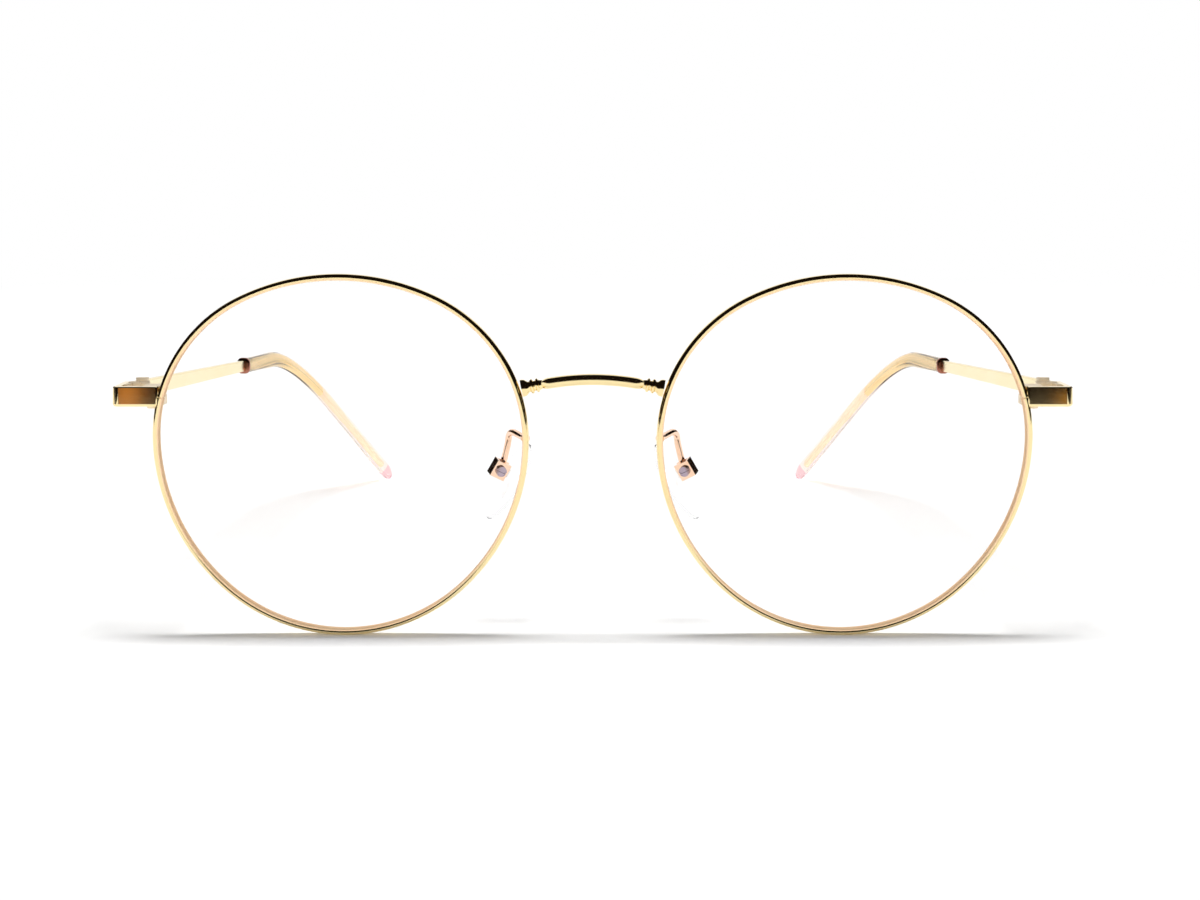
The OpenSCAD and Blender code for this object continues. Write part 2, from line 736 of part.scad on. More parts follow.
// The insert: a tab for the screw and a plate inside the pad, grown by a gap
module insert_body(gap) {
    plate = pad_rear - insert_depth;
    box_from(
        [plate - gap, -tab_t / 2 - gap, -tab_h / 2 - gap],
        [tab_end + gap, tab_t / 2 + gap, tab_h / 2 + gap]
    );
    box_from(
        [plate - insert_t - gap, -insert_w / 2 - gap, -pad_low - insert_l / 2 - gap],
        [plate + gap, insert_w / 2 + gap, insert_l / 2 - pad_low + gap]
    );
}
module pad_insert(side) {
    color(PALE_GOLD) standing() on_side(side) pad_frame() difference() {
        insert_body(0);
        pad_bore();
    }
}
module nose_pad(side) {
    color(CLEAR) standing() on_side(side) pad_frame() difference() {
        intersection() {
            translate([pad_rear, 0, -pad_low]) rotate([0, -90, 0]) linear_extrude(pad_t)
                polygon([
                    for (k = [0:PAD_STEPS - 1])
                    let (a = 360 * k / PAD_STEPS)
                    [pad_l / 2 * cos(a), pad_w / 2 * sin(a)]
                ]);
            translate([pad_rear - pad_t + pad_dome_r, 0, -pad_low])
                sphere(r = pad_dome_r, $fn = 120);
        }
        insert_body(seat_gap);
    }
}

bridge();
rim_screws();
hinge_screws();
pad_screws();
rim(RIGHT);  // rim_right
rim(LEFT);  // rim_left
lens(RIGHT);  // lens_right
lens(LEFT);  // lens_left
block_upper(RIGHT);  // block_upper_right
block_upper(LEFT);  // block_upper_left
block_lower(RIGHT);  // block_lower_right
block_lower(LEFT);  // block_lower_left
end_piece(RIGHT);  // end_piece_right
end_piece(LEFT);  // end_piece_left
front_hinge(RIGHT);  // front_hinge_right
front_hinge(LEFT);  // front_hinge_left
temple_hinge(RIGHT);  // temple_hinge_right
temple_hinge(LEFT);  // temple_hinge_left
temple(RIGHT);  // temple_right
temple(LEFT);  // temple_left
tip_ring(RIGHT);  // tip_ring_right
tip_ring(LEFT);  // tip_ring_left
temple_tip(RIGHT);  // temple_tip_right
temple_tip(LEFT);  // temple_tip_left
pad_arm(RIGHT);  // pad_arm_right
pad_arm(LEFT);  // pad_arm_left
pad_box(RIGHT);  // pad_box_right
pad_box(LEFT);  // pad_box_left
pad_insert(RIGHT);  // pad_insert_right
pad_insert(LEFT);  // pad_insert_left
nose_pad(RIGHT);  // nose_pad_right
nose_pad(LEFT);  // nose_pad_left
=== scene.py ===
"""Round gold wire eyeglasses with folding temples: their looks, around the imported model."""

import json
import logging
from dataclasses import dataclass, field
from enum import Enum
from functools import cache
from math import asin, atan2, cos, degrees, pi, radians, sin, sqrt, tan

import bmesh
import bpy
from mathutils import Matrix, Vector


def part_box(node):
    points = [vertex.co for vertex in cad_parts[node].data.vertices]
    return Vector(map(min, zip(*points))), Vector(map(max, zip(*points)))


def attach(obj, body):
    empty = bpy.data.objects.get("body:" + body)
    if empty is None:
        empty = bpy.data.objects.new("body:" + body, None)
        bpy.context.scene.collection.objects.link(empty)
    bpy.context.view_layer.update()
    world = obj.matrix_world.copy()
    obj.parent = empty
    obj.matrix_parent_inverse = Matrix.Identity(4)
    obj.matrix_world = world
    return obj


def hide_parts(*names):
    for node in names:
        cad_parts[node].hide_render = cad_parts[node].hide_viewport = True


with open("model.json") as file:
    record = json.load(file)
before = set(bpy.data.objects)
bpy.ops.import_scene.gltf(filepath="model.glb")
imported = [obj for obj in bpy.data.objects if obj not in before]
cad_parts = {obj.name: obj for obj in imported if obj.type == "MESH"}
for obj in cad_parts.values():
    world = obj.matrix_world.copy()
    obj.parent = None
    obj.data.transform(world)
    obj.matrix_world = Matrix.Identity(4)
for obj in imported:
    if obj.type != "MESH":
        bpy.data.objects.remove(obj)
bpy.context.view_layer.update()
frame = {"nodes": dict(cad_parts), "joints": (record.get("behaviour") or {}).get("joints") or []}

LOG = logging.getLogger("eyeglasses")
MM = 0.001

BMesh = bmesh.types.BMesh
BMEdge = bmesh.types.BMEdge
BMFace = bmesh.types.BMFace
BMVert = bmesh.types.BMVert
Tree = bpy.types.NodeTree
Node = bpy.types.Node
Socket = bpy.types.NodeSocket
Material = bpy.types.Material


class Side(Enum):
    """The wearer's side; its value is the sign of X."""

    LEFT = 1
    RIGHT = -1

    @property
    def word(self) -> str:
        """The side as node names say it."""
        return self.name.lower()


def sided(name: str, side: Side | None) -> str:
    """A name with its side's word behind it, or a middle piece's name as it is."""
    return f"{name}_{side.word}" if side else name


# ---- Node materials ----


def srgb(code: str) -> tuple[float, float, float, float]:
    """Turns an sRGB hex colour into a linear one.

    Args:
        code: The colour as "#rrggbb".

    Returns:
        Linear red, green, blue, and an alpha of 1.
    """
    parts = [int(code[k : k + 2], 16) / 255 for k in (1, 3, 5)]
    linear = [p / 12.92 if p <= 0.04045 else ((p + 0.055) / 1.055) ** 2.4 for p in parts]
    return (linear[0], linear[1], linear[2], 1.0)


def add_node(tree: Tree, kind: str, settings: dict | None = None,
             inputs: dict | None = None) -> Node:
    """Adds a node with its settings, values and links.

    Args:
        tree: The node tree it goes into.
        kind: The node's type, without its prefix.
        settings: Properties of the node.
        inputs: Socket name or number to a value, or to the output socket that feeds it.

    Returns:
        The new node.
    """
    node = tree.nodes.new("ShaderNode" + kind)
    for name, value in (settings or {}).items():
        setattr(node, name, value)
    for name, value in (inputs or {}).items():
        if isinstance(value, Socket):
            tree.links.new(value, node.inputs[name])
        else:
            node.inputs[name].default_value = value
    return node


def new_material(name: str) -> Material:
    """A material with an empty node tree."""
    material = bpy.data.materials.new(name)
    material.use_nodes = True
    material.node_tree.nodes.clear()
    return material


def noise(tree: Tree, grain_mm: float, detail: float) -> Socket:
    """A noise on Object coordinates, from 0 to 1, with a grain of a real size."""
    place = add_node(tree, "TexCoord").outputs["Object"]
    made = add_node(tree, "TexNoise", inputs={
        "Vector": place, "Scale": 1 / (grain_mm * MM), "Detail": detail})
    return made.outputs["Fac"]


def bump(tree: Tree, height: Socket, strength: float, distance_mm: float) -> Socket:
    """The normals of a surface that a height raises by up to a distance."""
    made = add_node(tree, "Bump", inputs={
        "Height": height, "Strength": strength, "Distance": distance_mm * MM})
    return made.outputs["Normal"]


def blend(tree: Tree, share: Socket, tint: str, other: str) -> Socket:
    """A colour that goes from one sRGB hex tint to another as a share goes from 0 to 1."""
    made = add_node(tree, "Mix", {"data_type": "RGBA"}, {
        "Factor": share, "A": srgb(tint), "B": srgb(other)})
    return made.outputs["Result"]


def mix(tree: Tree, share: Socket, first: Node, second: Node) -> Node:
    """A shader that goes from the first to the second as a share goes from 0 to 1."""
    return add_node(tree, "MixShader", inputs={
        0: share, 1: first.outputs[0], 2: second.outputs[0]})


def emission(tree: Tree, tint: str) -> Node:
    """A shader that shows a colour as it is, whatever lights it."""
    return add_node(tree, "Emission", inputs={"Color": srgb(tint), "Strength": 1.0})


def show(tree: Tree, shader: Node) -> None:
    """Makes a shader the surface of its material."""
    add_node(tree, "OutputMaterial", inputs={"Surface": shader.outputs[0]})


@dataclass(frozen=True)
class PlatedMetal:
    """Polished plate over a base metal: its tone drifts where the plate is thicker.

    The polish leaves a fine haze of marks, which gives the eye soft edges in the highlights.
    """

    name: str
    tint: str
    deep_tint: str
    roughness: float
    haze: float = 0.05
    metallic: float = 1.0
    drift_mm: float = 9.0
    marks_mm: float = 0.35
    mark_height_mm: float = 0.0012

    def material(self) -> Material:
        """Builds the node material."""
        material = new_material(self.name)
        tree = material.node_tree
        tone = blend(tree, noise(tree, self.drift_mm, 2.0), self.tint, self.deep_tint)
        marks = noise(tree, self.marks_mm, 3.0)
        rough = add_node(tree, "MapRange", inputs={
            "Value": marks, "To Min": self.roughness, "To Max": self.roughness + self.haze})
        show(tree, add_node(tree, "BsdfPrincipled", inputs={
            "Base Color": tone, "Metallic": self.metallic, "Roughness": rough.outputs["Result"],
            "Normal": bump(tree, marks, 0.3, self.mark_height_mm)}))
        return material


@dataclass(frozen=True)
class ClearMoulding:
    """A clear moulded plastic or silicone, in which flow lines show as a faint ripple."""

    name: str
    tint: str
    roughness: float
    ior: float
    lets_through: float = 0.85
    ripple_mm: float = 3.0
    ripple_height_mm: float = 0.01

    def material(self) -> Material:
        """Builds the node material."""
        material = new_material(self.name)
        tree = material.node_tree
        ripple = bump(tree, noise(tree, self.ripple_mm, 1.0), 0.4, self.ripple_height_mm)
        shader = add_node(tree, "BsdfPrincipled", inputs={
            "Base Color": srgb(self.tint), "Roughness": self.roughness, "IOR": self.ior,
            "Transmission Weight": 1.0, "Normal": ripple})
        path = add_node(tree, "LightPath")
        share = add_node(tree, "Math", {"operation": "MULTIPLY"}, {
            0: path.outputs["Is Shadow Ray"], 1: self.lets_through})
        clear = add_node(tree, "BsdfTransparent", inputs={"Color": srgb(self.tint)})
        show(tree, mix(tree, share.outputs[0], shader, clear))
        return material


@dataclass(frozen=True)
class CoatedLens:
    """A thin clear lens with an anti-reflective coating, so that it is almost only seen
    by a faint reflection, which drifts in tone where the coating is thicker."""

    name: str
    tint: str
    coat_tint: str
    reflection_ior: float
    drift_mm: float = 30.0

    def material(self) -> Material:
        """Builds the node material."""
        material = new_material(self.name)
        tree = material.node_tree
        coat = blend(tree, noise(tree, self.drift_mm, 0.0), "#ffffff", self.coat_tint)
        clear = add_node(tree, "BsdfTransparent", inputs={"Color": srgb(self.tint)})
        gloss = add_node(tree, "BsdfPrincipled", inputs={
            "Base Color": coat, "Metallic": 1.0, "Roughness": 0.03})
        share = add_node(tree, "Fresnel", inputs={"IOR": self.reflection_ior})
        show(tree, mix(tree, share.outputs["Fac"], clear, gloss))
        return material


# Gold plate, polished: pale yellow where it mirrors the white room, near black where not
GOLD = PlatedMetal("polished_gold_plate", "#fdecb6", "#f8dca4", 0.07)
# The same plate tumbled instead of polished, so that it stays pale, on hinges and blocks
TUMBLED_GOLD = PlatedMetal("tumbled_gold_plate", "#fff2d8", "#fde6c4", 0.45, metallic=0.6)
# The lip and inner wall of the rim under its rose lacquer, which gives a soft peach tone
ROSE_LACQUER = PlatedMetal("rose_lacquer_on_plate", "#ffdfb8", "#ffd2a2", 0.4, metallic=0.2)
# Pad arms and boxes, plated a little rosier than the front
ROSE_PLATE = PlatedMetal("rose_gold_plate", "#fde0c8", "#f4c4a0", 0.08)
# Flat strip with a thinner, paler plate
PALE_GOLD = PlatedMetal("pale_gold_plate", "#fdf0c6", "#fbe6b0", 0.16)
# The same strip where it runs inside the tip, rolled thin and matt, a pale peach
BARE_CORE = PlatedMetal("matt_rolled_core", "#ffefdc", "#fde4ca", 0.5, metallic=0.6)
# Rose-brown plated ring at the mouth of each tip
COPPER = PlatedMetal("rose_brown_plate", "#b87a64", "#8c5444", 0.16)
# Plated steel screws, a cool grey beside the gold
STEEL = PlatedMetal("plated_steel", "#bfb0bc", "#9a8a9a", 0.2)
# Stamped steel of the pads' inserts
INSERT = PlatedMetal("stamped_steel", "#ffffff", "#f8f6f4", 0.45, metallic=0.3)
# Clear cellulose acetate, tumbled to a gloss
CLEAR_TIP = ClearMoulding("clear_acetate", "#fff1e8", 0.06, 1.12)
# The tip's very end, where the acetate is tinted pink
PINK_TIP = ClearMoulding("pink_acetate", "#f8b6c2", 0.06, 1.12)
# Clear silicone, moulded with a satin skin
SILICONE = ClearMoulding("clear_silicone", "#ffffff", 0.05, 1.1, 0.96, ripple_mm=2.0)
# CR-39 demo lens with its coating
LENS = CoatedLens("coated_lens", "#ffffff", "#e8ecff", 1.1)

Finish = PlatedMetal | ClearMoulding | CoatedLens


@cache
def material_of(finish: Finish) -> Material:
    """The material of a finish, built the first time it is asked for."""
    return finish.material()


# ---- Shapes ----


def only(kind: type, geom: list) -> list:
    """The elements of one kind."""
    return [g for g in geom if isinstance(g, kind)]


def turned(angle: float, axis: str) -> Matrix:
    """A turn about an axis, in degrees."""
    return Matrix.Rotation(radians(angle), 4, axis)


def eased_ring(points: list[tuple[float, float]], radius: float, segments: int = 3) -> BMesh:
    """A ring of edges in the XY plane with its corners rounded.

    Args:
        points: Its corners.
        radius: How far from each corner the rounding starts.
        segments: Steps round each corner.

    Returns:
        A mesh that holds only the ring.
    """
    bm = bmesh.new()
    corners = [bm.verts.new((x, y, 0)) for x, y in points]
    bm.faces.new(corners)
    bmesh.ops.bevel(bm, geom=corners, offset=radius, segments=segments, profile=0.5,
                    affect="VERTICES", material=-1)
    bmesh.ops.delete(bm, geom=list(bm.faces), context="FACES_ONLY")
    return bm


def ring_of(width: float, height: float, radius: float, segments: int = 3) -> BMesh:
    """A rounded rectangle of edges in the XY plane, centred on zero."""
    w, h = width / 2, height / 2
    return eased_ring([(-w, -h), (w, -h), (w, h), (-w, h)], radius, segments)


def circle_of(radius: float, segments: int) -> BMesh:
    """A circle of edges in the XY plane."""
    bm = bmesh.new()
    bmesh.ops.create_circle(bm, radius=radius, segments=segments)
    return bm


def shell_of(name: str, bm: BMesh) -> bpy.types.Mesh:
    """The finished mesh of an edited one, which is freed."""
    shell = bpy.data.meshes.new(name)
    bm.to_mesh(shell)
    bm.free()
    return shell


def join(bm: BMesh, part: BMesh) -> None:
    """Moves the whole of a part into a mesh, and frees the part."""
    shell = shell_of("part", part)
    bm.from_mesh(shell)
    bpy.data.meshes.remove(shell)


def placed(name: str, data: bpy.types.ID) -> bpy.types.Object:
    """A new object in the scene."""
    made = bpy.data.objects.new(name, data)
    bpy.context.scene.collection.objects.link(made)
    return made


def step_out(bm: BMesh, edges: list[BMEdge], stations: list[Matrix]) -> list[BMEdge]:
    """Extrudes a ring that stands at the first of some places to all the others.

    Args:
        bm: The mesh that holds the ring.
        edges: The ring's edges.
        stations: The places.

    Returns:
        The edges of the last ring.
    """
    for before, after in zip(stations, stations[1:]):
        made = bmesh.ops.extrude_edge_only(bm, edges=edges)["geom"]
        verts, edges = only(BMVert, made), only(BMEdge, made)
        bmesh.ops.transform(bm, matrix=after @ before.inverted(), verts=verts)
    return edges


def extrude_along(bm: BMesh, stations: list[Matrix], closed: bool = False) -> None:
    """Extrudes a ring from place to place, with a face at both ends.

    Args:
        bm: The mesh, which holds only the ring, in the XY plane round zero.
        stations: Where the ring goes, each as a matrix from the ring's own plane.
        closed: Whether the last place joins the first, with no end faces.
    """
    first = list(bm.edges)
    bmesh.ops.transform(bm, matrix=stations[0], verts=bm.verts)
    last = step_out(bm, first, stations)
    if closed:
        bmesh.ops.bridge_loops(bm, edges=first + last)
        return
    for edges in (first, last):
        bmesh.ops.holes_fill(bm, edges=edges, sides=0)


def scaled(place: Matrix, width: float, height: float) -> Matrix:
    """A place with its ring stretched by a width and a height."""
    return place @ Matrix.Diagonal((width, height, 1, 1))


def bend_path(points: list[Vector], radius: float, steps: int = 6) -> list[Vector]:
    """Rounds the corners of a path, as a wire is bent.

    Args:
        points: The path's ends and corners.
        radius: How far from each corner the bend starts, where there is room.
        steps: Points in each bend.

    Returns:
        The points of the bent path.
    """
    path = [points[0]]
    for before, corner, after in zip(points, points[1:], points[2:]):
        into, out = corner - before, after - corner
        cut = min(radius, into.length / 2.1, out.length / 2.1)
        start = corner - into.normalized() * cut
        end = corner + out.normalized() * cut
        for k in range(steps + 1):
            t = k / steps
            path.append(start.lerp(corner, t).lerp(corner.lerp(end, t), t))
    path.append(points[-1])
    return path


def path_stations(path: list[Vector]) -> list[Matrix]:
    """Places along a path whose Z axis follows it and whose X axis turns as little as it can.

    Args:
        path: The path's points.

    Returns:
        One matrix for each point.
    """
    ways = [(b - a).normalized() for a, b in zip(path, path[1:])]
    across = ways[0].orthogonal().normalized()
    stations = []
    for k, point in enumerate(path):
        way = (ways[max(k - 1, 0)] + ways[min(k, len(ways) - 1)]).normalized()
        across = (across - way * across.dot(way)).normalized()
        up = way.cross(across)
        turn = Matrix((across, up, way)).transposed().to_4x4()
        stations.append(Matrix.Translation(point) @ turn)
    return stations


def lathe(outline: tuple[tuple[float, float], ...], place: Matrix,
          steps: int = 36) -> BMesh:
    """Turns an outline round the Z axis.

    Args:
        outline: Points of [radius, height] from one end of the axis to the other.
        place: Where the turned shape goes.
        steps: Steps of the full turn.

    Returns:
        The turned mesh.
    """
    bm = bmesh.new()
    verts = [bm.verts.new((r, 0, z)) for r, z in outline]
    edges = [bm.edges.new(pair) for pair in zip(verts, verts[1:])]
    bmesh.ops.spin(bm, geom=verts + edges, cent=(0, 0, 0), axis=(0, 0, 1),
                   angle=2 * pi, steps=steps, use_merge=True)
    bmesh.ops.transform(bm, matrix=place, verts=bm.verts)
    return bm


class Builder:
    """Turns finished meshes into pieces that ride on the model's bodies."""

    def __init__(self) -> None:
        """Finds the front plane of the rims, from which all sizes are given."""
        self.front_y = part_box("rim_left")[0].y
        self.to_row = Matrix.Translation((0, self.front_y, 0)) @ Matrix.Scale(MM, 4)

    def joint_place(self, name: str) -> Vector:
        """Where a joint is, in mm from the front plane."""
        joint = next(j for j in frame["joints"] if j["name"] == name)
        return self.to_row.inverted() @ Vector(joint["pos_m"])

    def piece(self, name: str, node: str, bm: BMesh, side: Side | None,
              finishes: list[Finish], body: str, slot: str, sharp: float = 40.0,
              in_row: bool = False, level: bool = True) -> None:
        """Makes a piece of a mesh that is in mm from the front plane, on the left side.

        Args:
            name: The piece's name, without its side.
            node: The CAD node it stands for, without its side.
            bm: Its mesh, which is freed.
            side: Its side, or None for a middle piece. RIGHT mirrors it.
            finishes: The finishes of its material indices.
            body: The body it rides on.
            slot: The record's material slot; not used.
            sharp: Edges that turn more than this many degrees stay sharp.
            in_row: Whether the mesh is in the row's own metres and place already.
            level: Whether its large faces keep a level shine up to their edges.
        """
        name, nodes = sided(name, side), [sided(node, side)]
        if not in_row:
            bmesh.ops.transform(bm, matrix=self.to_row, verts=bm.verts)
            if side is Side.RIGHT:
                bmesh.ops.scale(bm, vec=(-1, 1, 1), verts=bm.verts)
        bmesh.ops.remove_doubles(bm, verts=bm.verts, dist=1e-7)
        bmesh.ops.recalc_face_normals(bm, faces=bm.faces)
        for face in bm.faces:
            face.smooth = True
        for edge in bm.edges:
            edge.smooth = edge.calc_face_angle(0.0) < radians(sharp)
        mesh = shell_of(name, bm)
        for finish in finishes:
            mesh.materials.append(material_of(finish))
        made = placed(name, mesh)
        if level:
            flats = made.modifiers.new("flat_faces", "WEIGHTED_NORMAL")
            flats.keep_sharp = True
        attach(made, body)
        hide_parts(*nodes)
        LOG.info("%s: %d faces on %s", name, len(mesh.polygons), body)

    def softened(self, name: str, node: str, side: Side | None, finish: Finish, body: str,
                 slot: str, width: float, segments: int = 2) -> None:
        """A small metal piece with its edges broken, made from a copy of its CAD node.

        Args:
            name, node, side, finish, body, slot: As for a piece; slot is not used.
            width: Width of the broken edges in mm.
            segments: Steps across each broken edge.
        """
        bm = bmesh.new()
        bm.from_mesh(frame["nodes"][sided(node, side)].data)
        bmesh.ops.remove_doubles(bm, verts=bm.verts, dist=1e-6)
        bmesh.ops.dissolve_limit(bm, angle_limit=radians(1), verts=bm.verts, edges=bm.edges)
        crisp = [e for e in bm.edges if e.calc_face_angle(0.0) > radians(35)]
        bmesh.ops.bevel(bm, geom=crisp, offset=width * MM, offset_type="OFFSET",
                        segments=segments, profile=0.5, affect="EDGES", material=-1,
                        clamp_overlap=True)
        self.piece(name, node, bm, side, [finish], body, slot, in_row=True)


# ---- Front ----


# The end piece's end at the rim, eased: place along the bar, shares of its width and height
LUG_END = ((-0.3, 0.7, 0.8), (-0.24, 0.82, 0.88), (-0.14, 0.93, 0.95), (-0.02, 0.99, 0.99))
# The end piece's neck: place outwards from the rim, share of its height
LUG_NECK = ((-0.3, 1.2), (-0.1, 1.16), (0.1, 1.04), (0.4, 0.96), (0.7, 0.96))
# The bridge's turned neck: radius and place along it, from the bar out to the rim
BRIDGE_NECK = (
    (0.0, -0.3), (0.5, -0.3), (0.64, -0.1), (0.7, 0.25), (0.78, 0.38), (1.0, 0.5), (1.04, 0.62),
    (1.0, 0.76), (0.78, 0.88), (0.72, 1.02), (0.78, 1.16), (1.02, 1.28), (1.08, 1.42),
    (1.02, 1.6), (0.8, 1.74), (0.78, 1.92), (0.9, 2.1), (1.1, 2.28), (1.22, 2.5), (1.26, 2.75),
    (1.28, 3.0), (0.0, 3.0))


@dataclass(frozen=True)
class Arc:
    """A stretch of the rim's outline: centre across and up, radius, start and sweep."""

    across: float
    up: float
    radius: float
    start: float
    sweep: float

    def point(self, angle: float, out: float, back: float) -> Vector:
        """A point beside the arc, outwards and back from its line, at an angle in degrees."""
        turn = radians(angle)
        far = self.radius + out
        return Vector((self.across + far * cos(turn), back, self.up + far * sin(turn)))


@dataclass(frozen=True)
class Outline:
    """The rim's outline in its own plane, round the centre of its bottom arc. In mm."""

    width: float = 54.9
    bottom_fullness: float = 0.947
    corner_fullness: float = 0.845
    side_angle: float = 48
    top_angle: float = 64

    @property
    def bottom_r(self) -> float:
        """Radius of the bottom arc."""
        return self.bottom_fullness * self.width / 2

    @property
    def side_r(self) -> float:
        """Radius of the side arcs."""
        turn = radians(self.side_angle)
        return (self.width / 2 - self.bottom_r * cos(turn)) / (1 - cos(turn))

    @property
    def side_x(self) -> float:
        """Distance of the side arcs' centres from the middle."""
        return (self.bottom_r - self.side_r) * cos(radians(self.side_angle))

    @property
    def corner(self) -> Arc:
        """The upper corner arc away from the nose."""
        corner_r = self.corner_fullness * self.width / 2
        across = self.side_x + self.side_r - corner_r
        up = (self.side_r - self.bottom_r) * sin(radians(self.side_angle))
        return Arc(across, up, corner_r, 0, self.top_angle)

    def arcs(self) -> list[Arc]:
        """The six arcs, anticlockwise from the corner arc away from the nose."""
        corner, top = self.corner, radians(self.top_angle)
        top_r = corner.radius + corner.across / cos(top)
        top_z = corner.up + (corner.radius - top_r) * sin(top)
        return [
            corner,
            Arc(0, top_z, top_r, self.top_angle, 180 - 2 * self.top_angle),
            Arc(-corner.across, corner.up, corner.radius, 180 - self.top_angle, self.top_angle),
            Arc(-self.side_x, corner.up, self.side_r, 180, self.side_angle),
            Arc(0, 0, self.bottom_r, 180 + self.side_angle, 180 - 2 * self.side_angle),
            Arc(self.side_x, corner.up, self.side_r, 360 - self.side_angle, self.side_angle),
        ]

    def spin_round(self, bm: BMesh, profile: list[tuple[float, float]],
                   closed: bool, start: float, gap: float, step_mm: float) -> None:
        """Spins a profile through all the arcs.

        Args:
            bm: The mesh it is added to.
            profile: Points of [outwards, back] from the outline.
            closed: Whether the profile's last point joins its first.
            start: Angle on the first arc at which the ring starts and ends, in degrees.
            gap: Degrees left open there.
            step_mm: Length of one step.
        """
        arcs = self.arcs()
        first = arcs[0]
        pieces = [Arc(first.across, first.up, first.radius, start + gap / 2,
                      first.sweep - start - gap / 2)]
        pieces += arcs[1:]
        pieces.append(Arc(first.across, first.up, first.radius, 360, start - gap / 2))
        verts = [bm.verts.new(first.point(start + gap / 2, *p)) for p in profile]
        pairs = list(zip(verts, verts[1:]))
        if closed:
            pairs.append((verts[-1], verts[0]))
        geom = verts + [bm.edges.new(pair) for pair in pairs]
        for arc in pieces:
            steps = max(2, round(radians(arc.sweep) * arc.radius / step_mm))
            made = bmesh.ops.spin(bm, geom=geom, cent=(arc.across, 0, arc.up),
                                  axis=(0, -1, 0), angle=radians(arc.sweep), steps=steps)
            geom = made["geom_last"]
        bmesh.ops.remove_doubles(bm, verts=bm.verts, dist=1e-4)


@dataclass
class Front:
    """Rims, lenses, bridge, closing blocks and end pieces. Sizes in mm."""

    build: Builder
    outline: Outline = field(default_factory=Outline)
    rim_gap: float = 18.6
    rim_t: float = 0.95
    rim_depth: float = 1.8
    rim_step: float = 0.45
    crown: float = 0.52
    crown_steps: int = 24
    bevel: float = 0.2
    bevel_fall: float = 0.045
    lip_back: float = 0.2
    lens_play: float = 0.02
    groove_flare: float = 0.2
    groove_depth: float = 0.4
    split_angle: float = 16
    split_gap: float = 0.16
    lens_seat: float = 0.3
    lens_t: float = 0.9
    lens_r: float = 265
    lens_step: float = 1.2
    lens_rings: int = 14
    lug_h: float = 2.9
    lug_t: float = 1.2
    lug_reach: float = 6.6
    lug_bend: float = 0.55
    lug_neck_w: float = 0.62
    lug_neck_h: float = 0.86
    low_bevel: float = 0.2
    low_rise: float = 0.3
    top_bevel: float = 0.35
    top_fall: float = 0.0875
    lean: float = 0.13
    hinge_back: float = 7
    temple_slope: float = 3.1
    play: float = 0.05
    bridge_angle: float = 18.5
    bridge_rise: float = 1.5
    bridge_h: float = 1.6
    bridge_depth: float = 1.8
    bar_top: float = 0.3
    bar_low: float = 0.36
    bar_waist: float = 0.14
    bar_draft: float = 0.06
    ease: float = 0.09
    neck_l: float = 3.1
    neck_flat: float = 0.76
    fade_from: float = 0.86
    fade: float = 0.62

    @property
    def rim_x(self) -> float:
        """Middle of the left rim."""
        return self.rim_gap / 2 + self.outline.width / 2

    @property
    def rim_place(self) -> Matrix:
        """Where the left rim's outline stands."""
        return Matrix.Translation((self.rim_x, 0, self.outline.bottom_r))

    @property
    def lug_x(self) -> float:
        """Where the end piece meets the rim's outer face."""
        corner = self.outline.corner
        return self.rim_x + corner.across + corner.radius * cos(radians(self.split_angle))

    @property
    def lug_z(self) -> float:
        """Height of the end piece's middle."""
        corner = self.outline.corner
        return self.outline.bottom_r + corner.up + corner.radius * sin(radians(self.split_angle))

    def rim_profile(self) -> list[tuple[float, float]]:
        """The rim wire in section, from its crown round to its groove and back."""
        mid, t = self.rim_depth / 2, self.rim_t
        floor = self.lens_t / 2 + self.lens_wander + self.lens_play
        half = floor + self.groove_flare / 2
        lip = t - self.crown - self.bevel
        turns = [pi / 2 * k / self.crown_steps for k in range(self.crown_steps + 1)]
        front = [(-self.crown * (1 - sin(a)), mid * (1 - cos(a))) for a in reversed(turns)]
        front.append((-self.crown - self.bevel, self.bevel_fall))
        low = self.bevel_fall
        front += [(lip * (1 - sin(a)) - t, low + (self.lip_back - low) * (1 - cos(a)))
                  for a in turns[1:]]
        front += [(-t, mid - half), (self.groove_depth - t, mid - floor)]
        rear = [(out, 2 * mid - back) for out, back in reversed(front[1:])]
        return front + rear

    def rim(self, side: Side) -> None:
        """A rim: grooved wire, bent round and split behind its end piece."""
        bm = bmesh.new()
        gap = degrees(self.split_gap / self.outline.corner.radius)
        self.outline.spin_round(bm, self.rim_profile(), True, self.split_angle, gap,
                                self.rim_step)
        ends = [e for e in bm.edges if e.is_boundary]
        bmesh.ops.holes_fill(bm, edges=ends, sides=0)
        for face in bm.faces:
            face.material_index = int(self.is_inner(face))
        bmesh.ops.transform(bm, matrix=self.rim_place, verts=bm.verts)
        self.build.piece("rim_wire", "rim", bm, side, [GOLD, ROSE_LACQUER], "front",
                         "polished_gold", sharp=8, level=False)

    def is_inner(self, face: BMFace) -> bool:
        """Whether a rim's face lies on its lip or looks at the lens."""
        centre = face.calc_center_median()
        centre.y = 0
        arcs = self.outline.arcs()
        spot = next((a for a in arcs if self.spans(a, centre)), arcs[0])
        far = (centre - Vector((spot.across, 0, spot.up))).length - spot.radius
        return far < -(self.crown + self.bevel * 1.05)

    @staticmethod
    def spans(arc: Arc, spot: Vector) -> bool:
        """Whether a spot lies in the sector of an arc."""
        turn = degrees(atan2(spot.z - arc.up, spot.x - arc.across))
        return (turn - arc.start) % 360 <= arc.sweep

    @property
    def edge_reach(self) -> tuple[float, float]:
        """Least and greatest distance of a lens's edge from the middle of the outline."""
        inset = self.rim_t - self.lens_seat
        reach = [(arc.point(arc.start + arc.sweep * k / 16, -inset, 0) - self.middle).length
                 for arc in self.outline.arcs() for k in range(16)]
        return min(reach), max(reach)

